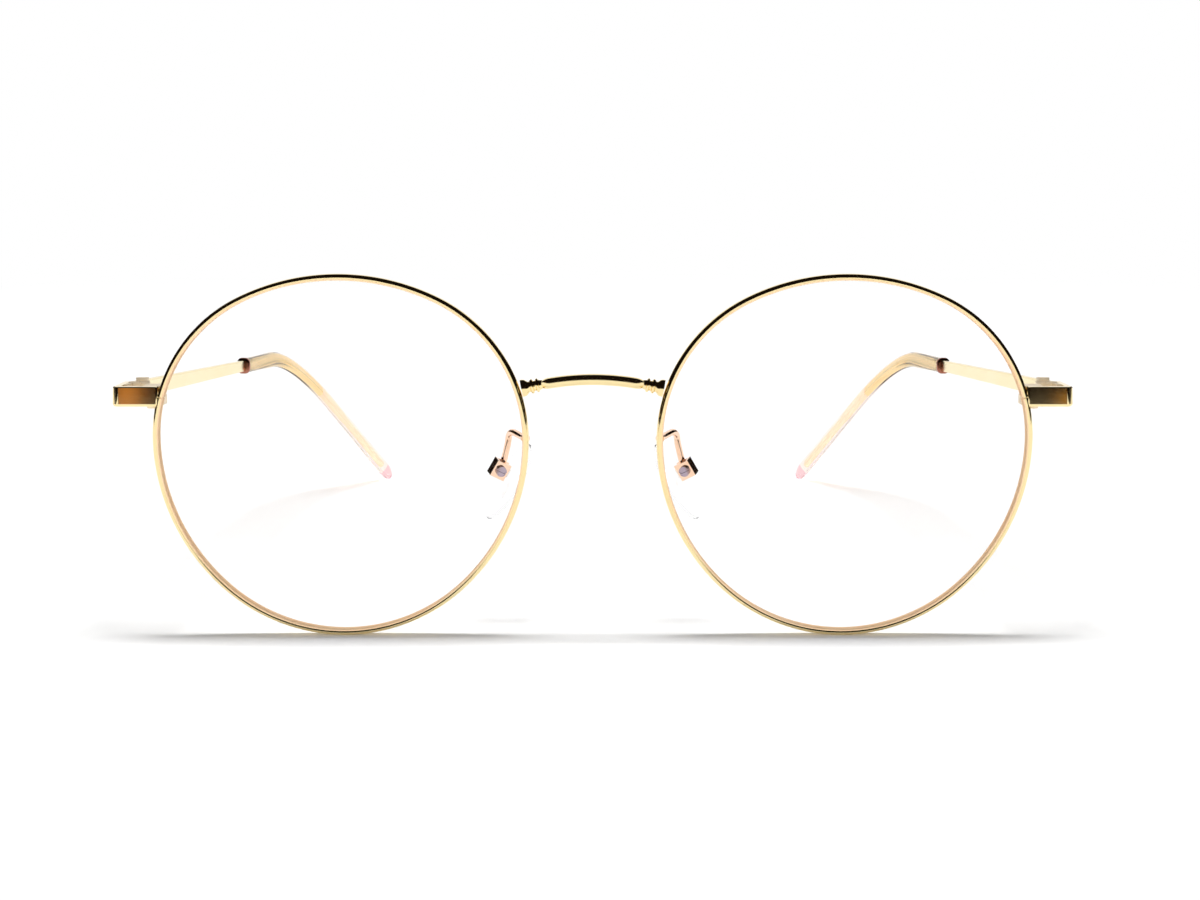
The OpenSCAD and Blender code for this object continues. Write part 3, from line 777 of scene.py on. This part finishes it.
    @property
    def middle(self) -> Vector:
        """The middle of the outline, from the centre of its bottom arc."""
        top = self.outline.arcs()[1]
        return Vector((0, 0, (top.up + top.radius - self.outline.bottom_r) / 2))

    @property
    def lens_wander(self) -> float:
        """How far a lens's edge wanders to the front and to the back."""
        near, far = self.edge_reach
        return (far**2 - near**2) / 4 / (self.lens_r - self.lens_t / 2)

    def lens(self, side: Side) -> None:
        """A lens: two curved faces, with its edge in the rim's groove."""
        bm = bmesh.new()
        inset = self.rim_t - self.lens_seat
        self.outline.spin_round(bm, [(-inset, 0)], False, 0, 0, self.lens_step)
        middle = Matrix.Translation(self.middle)
        stations = [middle @ Matrix.Scale(1 - k / self.lens_rings, 4) @ middle.inverted()
                    for k in range(self.lens_rings)]
        last = step_out(bm, list(bm.edges), stations)
        bmesh.ops.holes_fill(bm, edges=last, sides=0)
        bmesh.ops.recalc_face_normals(bm, faces=bm.faces)
        mid_r = self.lens_r - self.lens_t / 2
        near, far = self.edge_reach
        centre_y = self.rim_depth / 2 + sqrt(mid_r**2 - (far**2 + near**2) / 2)
        made = bmesh.ops.extrude_face_region(bm, geom=list(bm.faces))["geom"]
        rear = set(only(BMVert, made))
        for v in bm.verts:
            r = self.lens_r - (self.lens_t if v in rear else 0)
            v.co.y = centre_y - sqrt(r**2 - v.co.x**2 - (v.co.z - self.middle.z) ** 2)
        bmesh.ops.transform(bm, matrix=self.rim_place, verts=bm.verts)
        self.build.piece("demo_lens", "lens", bm, side, [LENS], "front", "clear_lens", sharp=50)

    def end_piece(self, side: Side) -> None:
        """An end piece: a bar from the rim round to the hinge, on a neck at the rim."""
        out = self.lug_x + self.lug_reach
        mid = self.lug_t / 2
        back = self.hinge_back - self.play
        corner = Vector((out - mid, mid, 0))
        path = bend_path([Vector((self.lug_x + 0.1, mid, 0)), corner,
                          Vector((out - mid, back, 0))], self.lug_bend, 8)
        up = Vector((0, 0, 1))
        stations = []
        for place in path_stations(path):
            way = place.to_3x3().col[2].normalized()
            across = way.cross(up).normalized()
            turn = Matrix((across, up, way)).transposed().to_4x4()
            stations.append(Matrix.Translation(place.translation) @ turn)
        lead = [scaled(stations[0] @ Matrix.Translation((0, 0, z)), w, h) for z, w, h in LUG_END]
        bm = self.lug_section()
        extrude_along(bm, lead + stations)
        neck = ring_of(self.lug_t * self.lug_neck_w, self.lug_h * self.lug_neck_h, 0.2)
        turn = turned(90, "Y") @ turned(90, "Z")
        extrude_along(neck, [
            scaled(Matrix.Translation((self.lug_x + x, mid + 0.08, 0)) @ turn, 1, h)
            for x, h in LUG_NECK])
        join(bm, neck)
        bmesh.ops.translate(bm, vec=(0, 0, self.lug_z), verts=bm.verts)
        normal = turned(-self.temple_slope, "X").to_3x3() @ Vector((0, 1, 0))
        faces = bmesh.ops.bisect_plane(
            bm, geom=[*bm.verts, *bm.edges, *bm.faces],
            plane_co=(0, self.hinge_back - self.play / 2, self.lug_z), plane_no=normal,
            clear_outer=True)
        bmesh.ops.holes_fill(bm, edges=only(BMEdge, faces["geom_cut"]), sides=0)
        self.build.piece("end_bar", "end_piece", bm, side, [GOLD], "front", "polished_gold",
                         sharp=30)

    def lug_section(self) -> BMesh:
        """The end piece in section: X outwards, Y up, with a bevel above and below its face."""
        h, t = self.lug_h / 2, self.lug_t / 2
        points = [(-t, -h), (t - self.low_bevel, -h), (t, self.low_rise - h),
                  (t - self.lean, h - self.top_fall), (t - self.top_bevel, h), (-t, h)]
        return eased_ring(points, self.ease)

    def bridge(self) -> None:
        """The bridge: a faceted arched bar whose facets run out into turned necks."""
        corner = self.outline.corner
        nasal_x = self.rim_x - corner.across
        turn = radians(self.bridge_angle)
        end_x = nasal_x - corner.radius * cos(turn)
        end_z = self.outline.bottom_r + corner.up + corner.radius * sin(turn)
        arch_r = (end_x**2 + self.bridge_rise**2) / (2 * self.bridge_rise)
        centre = Vector((0, self.rim_depth / 2, end_z + self.bridge_rise - arch_r))
        half = asin((end_x - self.neck_l) / arch_r)
        bm = self.bar_section()
        steps = 40
        stations = []
        for k in range(steps + 1):
            share = 2 * k / steps - 1
            angle = half * share
            run_out = max(abs(share) - self.fade_from, 0) / (1 - self.fade_from)
            size = sqrt(1 - self.fade * run_out**2)
            place = (Matrix.Translation(centre) @ Matrix.Rotation(angle, 4, "Y")
                     @ Matrix.Translation((0, 0, arch_r)) @ turned(90, "Y"))
            stations.append(scaled(place, size, size))
        extrude_along(bm, stations)
        for sign in (1, -1):
            place = (Matrix.Translation(centre) @ Matrix.Rotation(half * sign, 4, "Y")
                     @ Matrix.Translation((0, 0, arch_r)) @ turned(90 * sign, "Y"))
            join(bm, lathe(BRIDGE_NECK, scaled(place, 1, self.neck_flat)))
        self.build.piece("bridge_bar", "bridge", bm, None, [GOLD], "front", "polished_gold",
                         sharp=28)

    def bar_section(self) -> BMesh:
        """The bridge bar in section: X down, Y back, with eased edges between its facets."""
        h, d = self.bridge_h / 2, self.bridge_depth / 2
        rear = [(-h, self.bar_top), (self.bar_waist - h, d - self.bar_draft), (self.bar_waist, d),
                (h, self.bar_low)]
        return eased_ring([(x, -y) for x, y in rear] + rear[::-1], self.ease)

    def make(self) -> None:
        """Builds all the pieces of the front."""
        self.bridge()
        for side in Side:
            self.rim(side)
            self.lens(side)
            self.end_piece(side)
            for node in ("block_upper", "block_lower", "front_hinge"):
                self.build.softened(f"soft_{node}", node, side, TUMBLED_GOLD, "front",
                                    "polished_gold", 0.12)
        for node in ("rim_screws", "hinge_screws"):
            self.build.softened(f"soft_{node}", node, None, TUMBLED_GOLD, "front",
                                "polished_gold", 0.06)


# ---- Temples ----


# The strip's end at the hinge, eased: place along it, shares of its width and height
STRIP_START = ((0.0, 0.84, 0.94), (0.08, 0.95, 0.98), (0.2, 1.0, 1.0))
# The core wire's end, eased: distance from the end, share of its size
CORE_END = ((0.1, 0.85), (0.0, 0.5))
# The ring's outer wall: place along it, share of its size
RING_WALL = ((0.0, 0.9), (0.06, 0.96), (0.18, 1.0), (0.5, 1.03), (0.82, 1.0), (0.94, 0.96),
             (1.0, 0.9))
# Where the tip's rounded end has its sections, in degrees of its dome
DOME_STEPS = (15, 30, 45, 58, 70, 80, 87)


@dataclass
class Temple:
    """One temple: strip and core wire, its hinge leaf, the ring and the clear tip. In mm."""

    build: Builder
    side: Side
    bend_at: float = 86
    bend_r: float = 35
    bend_angle: float = 50
    bend_roll: float = 29
    slope: float = 3.1
    toe: float = 3.5
    roll_over: float = 16
    front_h: float = 2.6
    rear_h: float = 2
    thick: float = 1
    pin_inset: float = 1.7
    ring_at: float = 65
    ring_l: float = 1
    ring_h: float = 3
    ring_w: float = 2.5
    mouth_h: float = 2.7
    mouth_w: float = 2.2
    end_h: float = 4.6
    end_w: float = 2.3
    tip_end: float = 142.452
    tip_ease: float = 0.25
    tip_growth: float = 1.5
    dome_power: float = 0.36
    lip_l: float = 0.12
    lip_size: float = 0.95
    seat_gap: float = 0.02
    pink_l: float = 1.4
    core_h: float = 1.8
    core_thin_h: float = 1.1
    core_thin_w: float = 0.8
    core_short: float = 4
    play: float = 0.05

    @property
    def body(self) -> str:
        """The body that the temple is."""
        return f"temple_{self.side.word}"

    @property
    def bend_end(self) -> float:
        """Place along the line where the bend ends."""
        return self.bend_at + radians(self.bend_angle) * self.bend_r

    def place(self, s: float) -> Matrix:
        """A place on the temple's line: X outwards, Y up the section and Z along the line.

        Args:
            s: The distance along the line from the hinge pin.

        Returns:
            Its matrix, from the section's plane to the front's frame.
        """
        angle = min(max(s - self.bend_at, 0) / self.bend_r, radians(self.bend_angle))
        run = max(s - self.bend_end, 0)
        full = radians(self.bend_angle)
        down = -self.bend_r * (1 - cos(angle)) - run * sin(full)
        back = self.bend_r * sin(angle) + run * cos(full)
        share = min(max(s - self.bend_at + self.roll_over, 0) / self.roll_over, 1)
        offset = turned(self.bend_roll, "Y") @ Vector((0, back, down))
        offset += Vector((self.pin_inset + self.thick / 2, min(s, self.bend_at), 0))
        tip = turned(self.bend_roll * share, "Y") @ Matrix.Rotation(-angle, 4, "X")
        upright = Matrix(((1, 0, 0, 0), (0, 0, 1, 0), (0, 1, 0, 0), (0, 0, 0, 1)))
        pin = self.build.joint_place("temple_left_fold")
        frame_in = Matrix.Translation(pin) @ turned(-self.slope, "X") @ turned(self.toe, "Z")
        return frame_in @ Matrix.Translation(offset) @ tip @ upright

    def strip(self) -> None:
        """The gold strip and the core wire that goes on inside the tip."""
        bm = ring_of(1, 1, 0.16, 4)
        start = self.play / 2 + self.seat_gap
        ring_end = self.ring_at + self.ring_l
        core_step = self.bend_end + 4
        core_end = self.tip_end - self.core_short
        thick, thin = self.thick, self.core_thin_w
        spots = [(start + s, thick * w, self.front_h * h) for s, w, h in STRIP_START]
        spots += [(self.ring_at * k / 8, thick,
                   self.front_h + (self.rear_h - self.front_h) * k / 8) for k in range(1, 9)]
        spots += [(ring_end + 2, thick, self.rear_h), (ring_end + 3, thick, self.core_h)]
        for a, b, count in ((ring_end + 4, self.bend_at, 14), (self.bend_at, self.bend_end, 20)):
            spots += [(s, thick, self.core_h) for s in self.spread(a, b, count)]
        spots += [(core_step, thick, self.core_h), (core_step + 2, thin, self.core_thin_h)]
        spots += [(s, thin, self.core_thin_h)
                  for s in self.spread(core_step + 2, core_end - 0.4, 8)]
        spots += [(core_end - s, thin * k, self.core_thin_h * k) for s, k in CORE_END]
        extrude_along(bm, [scaled(self.place(s), w, h) for s, w, h in spots])
        self.paint_beyond(bm, self.bend_end - 4)
        self.build.piece("strip", "temple", bm, self.side, [PALE_GOLD, BARE_CORE], self.body,
                         "pale_gold")

    def paint_beyond(self, bm: BMesh, s: float) -> None:
        """Gives the second finish to the faces that lie beyond a place on the line."""
        ahead = self.place(s).inverted()
        for face in bm.faces:
            face.material_index = int((ahead @ face.calc_center_median()).z > 0)

    @staticmethod
    def spread(start: float, end: float, count: int) -> list[float]:
        """Places from after the start up to the end, evenly spaced."""
        return [start + (end - start) * k / count for k in range(1, count + 1)]

    def ring(self) -> None:
        """The rose-brown ring that closes the mouth of the tip."""
        bm = ring_of(1, 1, 0.38, 6)
        widest = max(k for _, k in RING_WALL)
        spots = [(z, self.ring_w * k / widest, self.ring_h * k / widest) for z, k in RING_WALL]
        spots += [(z, self.thick + 0.1, self.rear_h + 0.1) for z in (1.0, 0.0)]
        stations = [scaled(self.place(self.ring_at + z * self.ring_l), w, h) for z, w, h in spots]
        extrude_along(bm, stations, closed=True)
        self.build.piece("mouth_ring", "tip_ring", bm, self.side, [COPPER], self.body,
                         "copper_ring", sharp=50)

    def tip(self) -> None:
        """The clear tip, moulded round the core wire."""
        bm = ring_of(1, 1, 0.42, 6)
        start = self.ring_at + self.ring_l + self.seat_gap
        dome = self.end_h / 2
        spots = [start, start + self.lip_l]
        spots += self.spread(start + self.lip_l, self.bend_at, 10)
        spots += self.spread(self.bend_at, self.bend_end, 20)
        end = self.tip_end - self.tip_ease
        spots += self.spread(self.bend_end, end - dome, 12)
        spots += [end - dome * (1 - sin(radians(a))) for a in DOME_STEPS]
        stations = []
        for s in spots:
            share = min((s - start) / (end - dome - start), 1)
            left = min((end - s) / dome, 1)
            size = (1 - (1 - left) ** 2) ** self.dome_power * (self.lip_size if s == start else 1)
            width = self.mouth_w + (self.end_w - self.mouth_w) * share
            height = self.mouth_h + (self.end_h - self.mouth_h) * share**self.tip_growth
            stations.append(scaled(self.place(s), width * size, height * size))
        extrude_along(bm, stations)
        self.paint_beyond(bm, self.tip_end - self.pink_l)
        self.build.piece("clear_tip", "temple_tip", bm, self.side, [CLEAR_TIP, PINK_TIP],
                         self.body, "clear_tip", sharp=60)

    def make(self) -> None:
        """Builds all the pieces of the temple."""
        self.strip()
        self.ring()
        self.tip()
        self.build.softened("soft_leaf", "temple_hinge", self.side, TUMBLED_GOLD, self.body,
                            "polished_gold", 0.12)


# ---- Nose pads ----


# Corners of the arm's wire, from its foot on the rim: across, back and up
ARM_KNEES = ((0.05, 0.02, 0.01), (0.8, 1.8, 0.1), (2.2, 4.5, 0.4), (2.8, 6.2, -0.3),
             (3, 7, -1.8))
# The pad's sections: height over its flat back, share of its outline
PAD_LEVELS = ((0.0, 0.8), (0.02, 0.86), (0.1, 0.93), (0.25, 0.975), (0.45, 0.995), (0.7, 0.985),
              (0.95, 0.945), (1.2, 0.88), (1.45, 0.79), (1.7, 0.66), (1.9, 0.52), (2.05, 0.37),
              (2.15, 0.2), (2.19, 0.07))


@dataclass
class NosePad:
    """One nose pad with its arm, box and insert. In mm."""

    build: Builder
    side: Side
    foot: tuple[float, float, float] = (9.775, 1.82, 29.2628)
    arm_r: float = 0.5
    arm_bend: float = 1.1
    arm_gap: float = 0.03
    foot_l: float = 1.4
    foot_swell: float = 0.35
    flare: float = 30
    splay: float = 20
    length: float = 13.2
    width: float = 7.4
    box_w: float = 2.4
    box_l: float = 2.6
    standoff: float = 0.6
    low: float = 1.1

    @property
    def place(self) -> Matrix:
        """The pad's own frame, on its screw."""
        centre = self.build.joint_place("pad_left_rock")
        return Matrix.Translation(centre) @ turned(-self.flare, "Y") @ turned(-self.splay, "Z")

    def arm(self) -> None:
        """The wire from the rim to the pad box, flattened at its foot."""
        foot = Vector(self.foot)
        end = self.place @ Vector((0, 0, self.box_l / 2 + self.arm_gap))
        path = bend_path([*(foot + Vector(k) for k in ARM_KNEES), end], self.arm_bend, 7)
        bm = circle_of(self.arm_r, 20)
        far = 0.0
        stations = []
        for place, spot, ahead in zip(path_stations(path), path, [*path[1:], path[-1]]):
            swell = 1 + self.foot_swell * max(1 - far / self.foot_l, 0) ** 2
            stations.append(scaled(place, swell, swell))
            far += (ahead - spot).length
        extrude_along(bm, stations)
        self.build.piece("pad_wire", "pad_arm", bm, self.side, [ROSE_PLATE], "front",
                         "polished_gold", sharp=50)

    def pad(self) -> None:
        """The clear pad: an oval, flat behind and domed towards the nose."""
        bm = circle_of(0.5, 48)
        rear = -self.box_w / 2 - self.standoff
        stations = [
            scaled(self.place @ Matrix.Translation((rear - x, 0, -self.low)) @ turned(-90, "Y"),
                   self.length * k, self.width * k) for x, k in PAD_LEVELS]
        extrude_along(bm, stations)
        self.build.piece("silicone_pad", "nose_pad", bm, self.side, [SILICONE],
                         f"pad_{self.side.word}", "clear_silicone", sharp=60)

    def make(self) -> None:
        """Builds all the pieces of the nose pad."""
        self.arm()
        self.pad()
        self.build.softened("soft_pad_box", "pad_box", self.side, ROSE_PLATE, "front",
                            "polished_gold", 0.1)
        self.build.softened("soft_insert", "pad_insert", self.side, INSERT,
                            f"pad_{self.side.word}", "insert_metal", 0.06)


# ---- Studio ----


@dataclass(frozen=True)
class Card:
    """A coloured strip that one end piece mirrors: its edges across, and its sweep."""

    name: str
    shade: str
    inner: float
    outer: float
    sweep: float


CARDS = (Card("amber_card", "#d89048", -0.1205, -0.1268, 5),
         Card("brown_card", "#6a4420", -0.1185, -0.1205, 5),
         Card("orange_card", "#e0a030", 0.1238, 0.1268, 2.2))


@dataclass
class Studio:
    """Camera, white floor and soft light. Distances in metres."""

    build: Builder
    camera_x: float = 0.00049
    camera_back: float = 0.250
    camera_up: float = 0.0682
    pitch: float = 8.44
    lens_mm: float = 52.17
    shift: tuple[float, float] = (0.0033, -0.0183)
    floor_half: float = 6.0
    grain_mm: float = 0.8
    room_level: float = 0.2
    strip_up: float = 4
    strip_tilt: float = 3.5
    strip_size: tuple[float, float] = (1.7, 0.56)
    strip_power: float = 117
    fill_light: float = 2.6
    fill_up: float = 8
    flag_low: float = -4
    flag_high: float = 138
    side_low: float = -3
    fade_start: float = 0.35
    fade_end: float = 0.8
    shade: str = "#15100d"
    back_shade: str = "#4c3844"
    eye_line: float = 0.036
    front_r: float = 0.21
    front_half: float = 0.4
    card_r: float = 0.204
    card_low: float = -3.2
    side_r: float = 0.42
    side_top: float = 0.6
    side_off: float = -5
    side_sweep: float = 110
    back_off: float = 47
    back_sweep: float = 28
    back_span: tuple[float, float] = (0.055, 0.15)

    def camera(self) -> None:
        """The camera at the viewer's eye."""
        data = bpy.data.cameras.new("camera")
        data.lens = self.lens_mm
        data.sensor_width = 36
        data.shift_x, data.shift_y = self.shift
        data.clip_start = 0.01
        view = placed("camera", data)
        view.location = (self.camera_x, self.build.front_y - self.camera_back, self.camera_up)
        view.rotation_euler = (radians(90 - self.pitch), 0, 0)
        bpy.context.scene.camera = view

    @staticmethod
    def seen(tree: Tree) -> Socket:
        """One for rays that see a surface: from the camera, off metal or through clear parts."""
        path = add_node(tree, "LightPath")
        share = 0.0
        for ray in ("Is Camera Ray", "Is Glossy Ray", "Is Transmission Ray"):
            both = add_node(tree, "Math", {"operation": "ADD", "use_clamp": True}, {
                0: share, 1: path.outputs[ray]})
            share = both.outputs[0]
        return share

    def world(self) -> None:
        """A white room, whose light comes from everywhere."""
        world = bpy.data.worlds.new("white_room")
        world.use_nodes = True
        tree = world.node_tree
        tree.nodes.clear()
        level = add_node(tree, "MapRange", inputs={
            "Value": self.seen(tree), "To Min": self.room_level, "To Max": 1.0})
        glow = add_node(tree, "Background", inputs={
            "Color": srgb("#ffffff"), "Strength": level.outputs["Result"]})
        add_node(tree, "OutputWorld", inputs={"Surface": glow.outputs[0]})
        bpy.context.scene.world = world

    def floor(self) -> None:
        """A white floor that keeps the shadow and runs out into the white room."""
        material = new_material("white_paper")
        tree = material.node_tree
        place = add_node(tree, "TexCoord").outputs["Object"]
        far = add_node(tree, "VectorMath", {"operation": "LENGTH"}, {0: place})
        share = add_node(tree, "MapRange", inputs={
            "Value": far.outputs["Value"], "From Min": self.fade_start, "From Max": self.fade_end})
        paper = add_node(tree, "BsdfDiffuse", inputs={
            "Color": srgb("#fefefe"),
            "Normal": bump(tree, noise(tree, self.grain_mm, 2.0), 0.1, 0.02)})
        show(tree, mix(tree, share.outputs["Result"], paper, emission(tree, "#ffffff")))
        bm = bmesh.new()
        bmesh.ops.create_grid(bm, x_segments=1, y_segments=1, size=self.floor_half)
        self.staged("floor", bm, material)

    def flag(self, name: str, shade: str, ends: tuple[Vector, Vector], axis: Vector,
             centre: Vector, start: float, sweep: float) -> None:
        """A curved card that only metal mirrors.

        Args:
            name: Its name.
            shade: Its colour.
            ends: The ends of the edge that is spun.
            axis: The axis it is spun round.
            centre: A point of that axis.
            start: How far the edge is turned first, in degrees.
            sweep: How far it is spun, in degrees.
        """
        material = new_material(name)
        show(material.node_tree, emission(material.node_tree, shade))
        bm = bmesh.new()
        verts = [bm.verts.new(end) for end in ends]
        edge = bm.edges.new(verts)
        bmesh.ops.rotate(bm, cent=centre, matrix=Matrix.Rotation(radians(start), 3, axis),
                         verts=verts)
        bmesh.ops.spin(bm, geom=[*verts, edge], cent=centre, axis=axis,
                       angle=radians(sweep), steps=32)
        panel = self.staged(name, bm, material)
        panel.visible_camera = False
        panel.visible_diffuse = False
        panel.visible_transmission = False
        panel.visible_shadow = False

    def flags(self) -> None:
        """The dark room in front of the glasses, over them and beside them."""
        across, up = Vector((-1, 0, 0)), Vector((0, 0, 1))
        high = up * self.eye_line
        front = Vector((0, self.build.front_y, 0)) + high
        reach = Vector((0, -self.front_r, 0))
        wide = across * self.front_half
        self.flag("front_flag", self.shade, (front + reach + wide, front + reach - wide), across,
                  front, self.flag_low, self.flag_high - self.flag_low)
        for card in CARDS:
            ends = tuple(front + Vector((x, -self.card_r, 0)) for x in (card.inner, card.outer))
            self.flag(card.name, card.shade, ends, across, front, self.card_low, card.sweep)
        for side in Side:
            foot = Vector((side.value * self.side_r, 0, 0))
            low = high + foot + up * (self.side_r * tan(radians(self.side_low)))
            top = high + foot + up * self.side_top
            self.flag(f"side_flag_{side.word}", self.shade, (low, top), up, Vector(),
                      self.side_off * side.value - self.side_sweep / 2, self.side_sweep)
            ends = tuple(foot + up * z for z in self.back_span)
            self.flag(f"back_flag_{side.word}", self.back_shade, ends, up, Vector(),
                      self.back_off * side.value - self.back_sweep / 2, self.back_sweep)

    def staged(self, name: str, bm: BMesh, material: Material) -> bpy.types.Object:
        """Adds a part of the stage, and frees the mesh it is made from."""
        mesh = shell_of(name, bm)
        mesh.materials.append(material)
        made = placed(name, mesh)
        return made

    def lamp(self, name: str, kind: str, energy: float, turn: float,
             place: Vector) -> bpy.types.Light:
        """Adds a light that metal doesn't mirror, tipped up from straight down by a turn."""
        data = bpy.data.lights.new(name, kind)
        data.energy = energy
        lamp = placed(name, data)
        lamp.location = place
        lamp.rotation_euler = (radians(turn), 0, 0)
        lamp.visible_glossy = False
        return data

    def lamps(self) -> None:
        """A long strip overhead, which shades finely front to back, and a fill from the front."""
        lean = self.strip_up * tan(radians(self.strip_tilt))
        strip = self.lamp("strip_light", "AREA", self.strip_power, 0,
                          Vector((0, self.build.front_y + lean, self.strip_up)))
        strip.shape = "RECTANGLE"
        strip.size, strip.size_y = self.strip_size
        fill = self.lamp("front_fill", "SUN", self.fill_light, 90 - self.fill_up,
                         Vector((0, -1, 0)))
        fill.angle = radians(60)

    def make(self) -> None:
        """Sets up the studio."""
        self.camera()
        self.world()
        self.floor()
        self.lamps()
        self.flags()
        bpy.context.scene.view_settings.view_transform = "Standard"


def main() -> None:
    """Builds the studio and then the glasses, sub-assembly by sub-assembly."""
    logging.basicConfig(level=logging.INFO, format="%(name)s: %(message)s")
    builder = Builder()
    Studio(builder).make()
    Front(builder).make()
    for side in Side:
        Temple(builder, side).make()
        NosePad(builder, side).make()
    builder.softened("soft_pad_screws", "pad_screws", None, STEEL, "front", "screw_steel",
                     0.14, 3)


if __name__ == "__main__":
    main()
